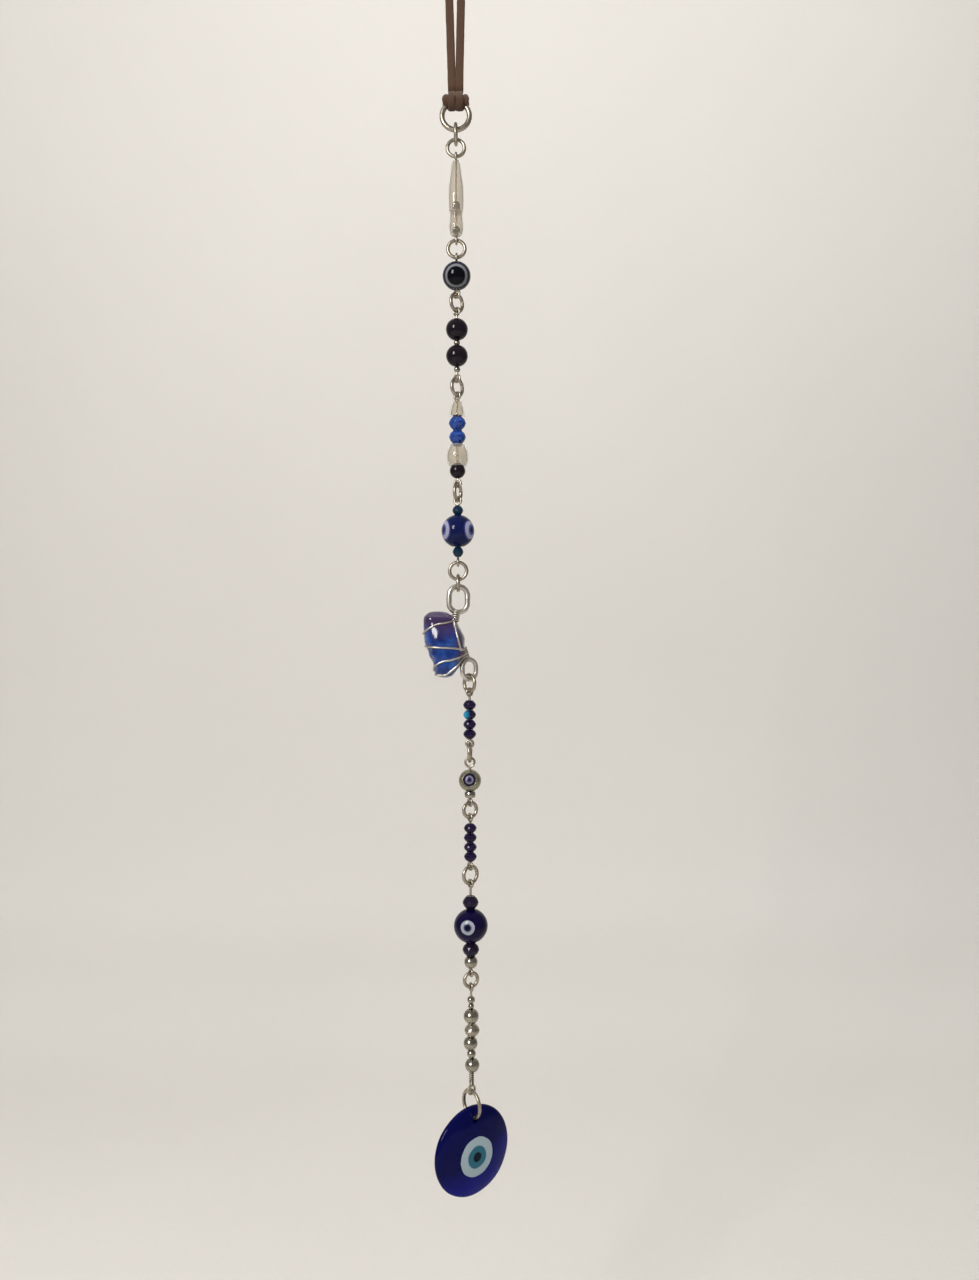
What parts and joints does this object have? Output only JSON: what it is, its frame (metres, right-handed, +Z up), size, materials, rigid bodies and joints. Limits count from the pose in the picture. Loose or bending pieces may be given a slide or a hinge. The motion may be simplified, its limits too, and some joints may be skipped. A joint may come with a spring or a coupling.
{
  "type": "evil eye ornament",
  "caption": "Hanging ornament: a suede loop carries a string of linked glass and silver beads, a wire-wrapped glass nugget and, at the foot, a flat glass eye disc.",
  "frame": {"origin": "inside of the top of the suede loop, where a hook carries the ornament", "axes": "+Z up along the string, front towards -Y, +X to the right seen from the front"},
  "size_m": [0.0224, 0.0152, 0.3409],
  "materials": {
    "suede": "matte",
    "ring_metal": "satin",
    "pin_wire": "satin",
    "silver_bead_metal": "polished",
    "nugget_wire_metal": "satin",
    "bezel_metal": "satin",
    "clear_glass": "polished",
    "black_glass": "polished",
    "eye_bead_glass": "polished",
    "blue_crystal_glass": "polished",
    "teal_glass": "polished",
    "lampwork_glass": "polished",
    "nugget_blue_glass": "polished",
    "iridescent_crystal": "polished",
    "bezel_eye_glass": "polished",
    "dark_crystal_glass": "polished",
    "lower_eye_glass": "polished",
    "disc_glass": "polished"
  },
  "bodies": {
    "root": {"suede_loop": "suede", "suede_hitch": "suede"},
    "top_ring": {"top_ring": "ring_metal"},
    "link_ring_1": {"link_ring_1": "ring_metal"},
    "link_ring_2": {"link_ring_2": "ring_metal"},
    "drop_pin": {"drop_pin": "pin_wire", "silver_ball_1": "silver_bead_metal", "silver_ball_2": "silver_bead_metal"},
    "link_ring_3": {"link_ring_3": "ring_metal"},
    "eye_bead_pin": {"eye_bead_pin": "pin_wire"},
    "link_ring_4": {"link_ring_4": "ring_metal"},
    "black_bead_pin": {"black_bead_pin": "pin_wire", "black_bead_collars": "silver_bead_metal"},
    "link_ring_5": {"link_ring_5": "ring_metal"},
    "crystal_pin": {"crystal_pin": "pin_wire", "clear_cone": "clear_glass", "nested_black_bead": "black_glass"},
    "link_ring_6": {"link_ring_6": "ring_metal"},
    "lampwork_pin": {"lampwork_pin": "pin_wire", "teal_beads": "teal_glass"},
    "link_ring_7": {"link_ring_7": "ring_metal"},
    "link_ring_8": {"link_ring_8": "ring_metal"},
    "wrapped_nugget": {"nugget_glass": "nugget_blue_glass", "nugget_top_loop": "nugget_wire_metal", "nugget_low_loop": "nugget_wire_metal", "nugget_wrap_wire": "nugget_wire_metal"},
    "link_ring_9": {"link_ring_9": "ring_metal"},
    "rondelle_pin_1": {"rondelle_pin_1": "pin_wire"},
    "link_ring_10": {"link_ring_10": "ring_metal"},
    "bezel_pin": {"bezel_pin": "pin_wire", "bezel_bead": "bezel_metal", "bezel_collar": "silver_bead_metal", "bezel_eye": "bezel_eye_glass"},
    "link_ring_11": {"link_ring_11": "ring_metal"},
    "rondelle_pin_2": {"rondelle_pin_2": "pin_wire"},
    "link_ring_12": {"link_ring_12": "ring_metal"},
    "lower_eye_pin": {"lower_eye_pin": "pin_wire", "dark_crystals": "dark_crystal_glass", "silver_ball_3": "silver_bead_metal"},
    "link_ring_13": {"link_ring_13": "ring_metal"},
    "silver_bead_pin": {"silver_bead_pin": "pin_wire", "silver_seed": "silver_bead_metal", "silver_collars": "silver_bead_metal", "silver_balls": "silver_bead_metal", "silver_rondelle": "silver_bead_metal"},
    "disc_ring": {"disc_ring": "ring_metal"},
    "evil_eye_disc": {"evil_eye_disc": "disc_glass"},
    "tall_drop": {"tall_drop": "clear_glass"},
    "short_drop": {"short_drop": "clear_glass"},
    "eye_bead": {"eye_bead": "eye_bead_glass"},
    "black_bead_1": {"black_bead_1": "black_glass"},
    "black_bead_2": {"black_bead_2": "black_glass"},
    "blue_crystal_1": {"blue_crystal_1": "blue_crystal_glass"},
    "blue_crystal_2": {"blue_crystal_2": "blue_crystal_glass"},
    "clear_barrel": {"clear_barrel": "clear_glass"},
    "lampwork_bead": {"lampwork_bead": "lampwork_glass"},
    "rondelles_1": {"rondelles_1": "iridescent_crystal"},
    "rondelles_2": {"rondelles_2": "iridescent_crystal"},
    "lower_eye_bead": {"lower_eye_bead": "lower_eye_glass"}
  },
  "joints": [
    {"name": "top_ring_swing", "type": "hinge", "parent": "root", "child": "top_ring", "pos_m": [0, 0, -0.0438], "axis": [1, 0, 0], "range_deg": [-15, 15]},
    {"name": "link_ring_1_swing", "type": "hinge", "parent": "top_ring", "child": "link_ring_1", "pos_m": [0, 0, -0.0512], "axis": [-1, 0, 0], "range_deg": [-25, 25]},
    {"name": "link_ring_2_swing", "type": "hinge", "parent": "link_ring_1", "child": "link_ring_2", "pos_m": [0, 0, -0.05492], "axis": [0, 1, 0], "range_deg": [-25, 25]},
    {"name": "drop_pin_swing", "type": "hinge", "parent": "link_ring_2", "child": "drop_pin", "pos_m": [0, 0, -0.05846], "axis": [1, 0, 0], "range_deg": [-25, 25]},
    {"name": "link_ring_3_swing", "type": "hinge", "parent": "drop_pin", "child": "link_ring_3", "pos_m": [0, 0, -0.08198], "axis": [0, -1, 0], "range_deg": [-25, 25]},
    {"name": "eye_bead_pin_swing", "type": "hinge", "parent": "link_ring_3", "child": "eye_bead_pin", "pos_m": [0, 0, -0.08568], "axis": [-1, 0, 0], "range_deg": [-25, 25]},
    {"name": "link_ring_4_swing", "type": "hinge", "parent": "eye_bead_pin", "child": "link_ring_4", "pos_m": [0, 0, -0.09654], "axis": [0.766, -0.6428, 0], "range_deg": [-25, 25]},
    {"name": "black_bead_pin_swing", "type": "hinge", "parent": "link_ring_4", "child": "black_bead_pin", "pos_m": [0, 0, -0.10024], "axis": [0.6428, 0.766, 0], "range_deg": [-25, 25]},
    {"name": "link_ring_5_swing", "type": "hinge", "parent": "black_bead_pin", "child": "link_ring_5", "pos_m": [0, 0, -0.11933], "axis": [-0.809, 0.5878, 0], "range_deg": [-25, 25]},
    {"name": "crystal_pin_swing", "type": "hinge", "parent": "link_ring_5", "child": "crystal_pin", "pos_m": [0, 0, -0.12303], "axis": [-0.5878, -0.809, 0], "range_deg": [-25, 25]},
    {"name": "link_ring_6_swing", "type": "hinge", "parent": "crystal_pin", "child": "link_ring_6", "pos_m": [0, 0, -0.14762], "axis": [0.9397, -0.342, 0], "range_deg": [-25, 25]},
    {"name": "lampwork_pin_swing", "type": "hinge", "parent": "link_ring_6", "child": "lampwork_pin", "pos_m": [0, 0, -0.15132], "axis": [0.342, 0.9397, 0], "range_deg": [-25, 25]},
    {"name": "link_ring_7_swing", "type": "hinge", "parent": "lampwork_pin", "child": "link_ring_7", "pos_m": [0, 0, -0.1689], "axis": [0, -1, 0], "range_deg": [-25, 25]},
    {"name": "link_ring_8_swing", "type": "hinge", "parent": "link_ring_7", "child": "link_ring_8", "pos_m": [0, 0, -0.1726], "axis": [-1, 0, 0], "range_deg": [-25, 25]},
    {"name": "wrapped_nugget_swing", "type": "hinge", "parent": "link_ring_8", "child": "wrapped_nugget", "pos_m": [0, 0, -0.17554], "axis": [0, 1, 0], "range_deg": [-20, 20]},
    {"name": "link_ring_9_swing", "type": "hinge", "parent": "wrapped_nugget", "child": "link_ring_9", "pos_m": [0.0029, 0, -0.1995], "axis": [0.788, 0.6157, 0], "range_deg": [-20, 20]},
    {"name": "rondelle_pin_1_swing", "type": "hinge", "parent": "link_ring_9", "child": "rondelle_pin_1", "pos_m": [0.0029, 0, -0.20297], "axis": [0.6157, -0.788, 0], "range_deg": [-25, 25]},
    {"name": "link_ring_10_swing", "type": "hinge", "parent": "rondelle_pin_1", "child": "link_ring_10", "pos_m": [0.0029, 0, -0.21791], "axis": [-0.9976, 0.0698, 0], "range_deg": [-25, 25]},
    {"name": "bezel_pin_swing", "type": "hinge", "parent": "link_ring_10", "child": "bezel_pin", "pos_m": [0.0029, 0, -0.22161], "axis": [0.0698, 0.9976, 0], "range_deg": [-25, 25]},
    {"name": "link_ring_11_swing", "type": "hinge", "parent": "bezel_pin", "child": "link_ring_11", "pos_m": [0.0029, 0, -0.23373], "axis": [0.5446, -0.8387, 0], "range_deg": [-25, 25]},
    {"name": "rondelle_pin_2_swing", "type": "hinge", "parent": "link_ring_11", "child": "rondelle_pin_2", "pos_m": [0.0029, 0, -0.23683], "axis": [0.8387, 0.5446, 0], "range_deg": [-25, 25]},
    {"name": "link_ring_12_swing", "type": "hinge", "parent": "rondelle_pin_2", "child": "link_ring_12", "pos_m": [0.0029, 0, -0.25097], "axis": [-0.6428, 0.766, 0], "range_deg": [-25, 25]},
    {"name": "lower_eye_pin_swing", "type": "hinge", "parent": "link_ring_12", "child": "lower_eye_pin", "pos_m": [0.0029, 0, -0.25467], "axis": [-0.766, -0.6428, 0], "range_deg": [-25, 25]},
    {"name": "link_ring_13_swing", "type": "hinge", "parent": "lower_eye_pin", "child": "link_ring_13", "pos_m": [0.0029, 0, -0.27971], "axis": [0.4226, -0.9063, 0], "range_deg": [-25, 25]},
    {"name": "silver_bead_pin_swing", "type": "hinge", "parent": "link_ring_13", "child": "silver_bead_pin", "pos_m": [0.0029, 0, -0.28261], "axis": [0.9063, 0.4226, 0], "range_deg": [-25, 25]},
    {"name": "disc_ring_swing", "type": "hinge", "parent": "silver_bead_pin", "child": "disc_ring", "pos_m": [0.0029, 0, -0.31151], "axis": [-0.7986, -0.6018, 0], "range_deg": [-25, 25]},
    {"name": "evil_eye_disc_swing", "type": "hinge", "parent": "disc_ring", "child": "evil_eye_disc", "pos_m": [0.0029, 0, -0.31779], "axis": [-0.6018, 0.7986, 0], "range_deg": [-25, 25]},
    {"name": "tall_drop_spin", "type": "hinge", "parent": "drop_pin", "child": "tall_drop", "pos_m": [0, 0, -0.06664], "axis": [0, 0, 1], "continuous": true},
    {"name": "short_drop_spin", "type": "hinge", "parent": "drop_pin", "child": "short_drop", "pos_m": [0, 0, -0.0766], "axis": [0, 0, 1], "continuous": true},
    {"name": "eye_bead_spin", "type": "hinge", "parent": "eye_bead_pin", "child": "eye_bead", "pos_m": [0, 0, -0.09066], "axis": [0, 0, 1], "continuous": true},
    {"name": "black_bead_1_spin", "type": "hinge", "parent": "black_bead_pin", "child": "black_bead_1", "pos_m": [0, 0, -0.10512], "axis": [0, 0, 1], "continuous": true},
    {"name": "black_bead_2_spin", "type": "hinge", "parent": "black_bead_pin", "child": "black_bead_2", "pos_m": [0, 0, -0.11224], "axis": [0, 0, 1], "continuous": true},
    {"name": "blue_crystal_1_spin", "type": "hinge", "parent": "crystal_pin", "child": "blue_crystal_1", "pos_m": [0, 0, -0.13042], "axis": [0, 0, 1], "continuous": true},
    {"name": "blue_crystal_2_spin", "type": "hinge", "parent": "crystal_pin", "child": "blue_crystal_2", "pos_m": [0, 0, -0.13418], "axis": [0, 0, 1], "continuous": true},
    {"name": "clear_barrel_spin", "type": "hinge", "parent": "crystal_pin", "child": "clear_barrel", "pos_m": [0, 0, -0.13909], "axis": [0, 0, 1], "continuous": true},
    {"name": "lampwork_bead_spin", "type": "hinge", "parent": "lampwork_pin", "child": "lampwork_bead", "pos_m": [0, 0, -0.15956], "axis": [0, 0, 1], "continuous": true},
    {"name": "rondelles_1_spin", "type": "hinge", "parent": "rondelle_pin_1", "child": "rondelles_1", "pos_m": [0.0029, 0, -0.21044], "axis": [0, 0, 1], "continuous": true},
    {"name": "rondelles_2_spin", "type": "hinge", "parent": "rondelle_pin_2", "child": "rondelles_2", "pos_m": [0.0029, 0, -0.2436], "axis": [0, 0, 1], "continuous": true},
    {"name": "lower_eye_bead_spin", "type": "hinge", "parent": "lower_eye_pin", "child": "lower_eye_bead", "pos_m": [0.0029, 0, -0.26611], "axis": [0, 0, 1], "continuous": true}
  ]
}
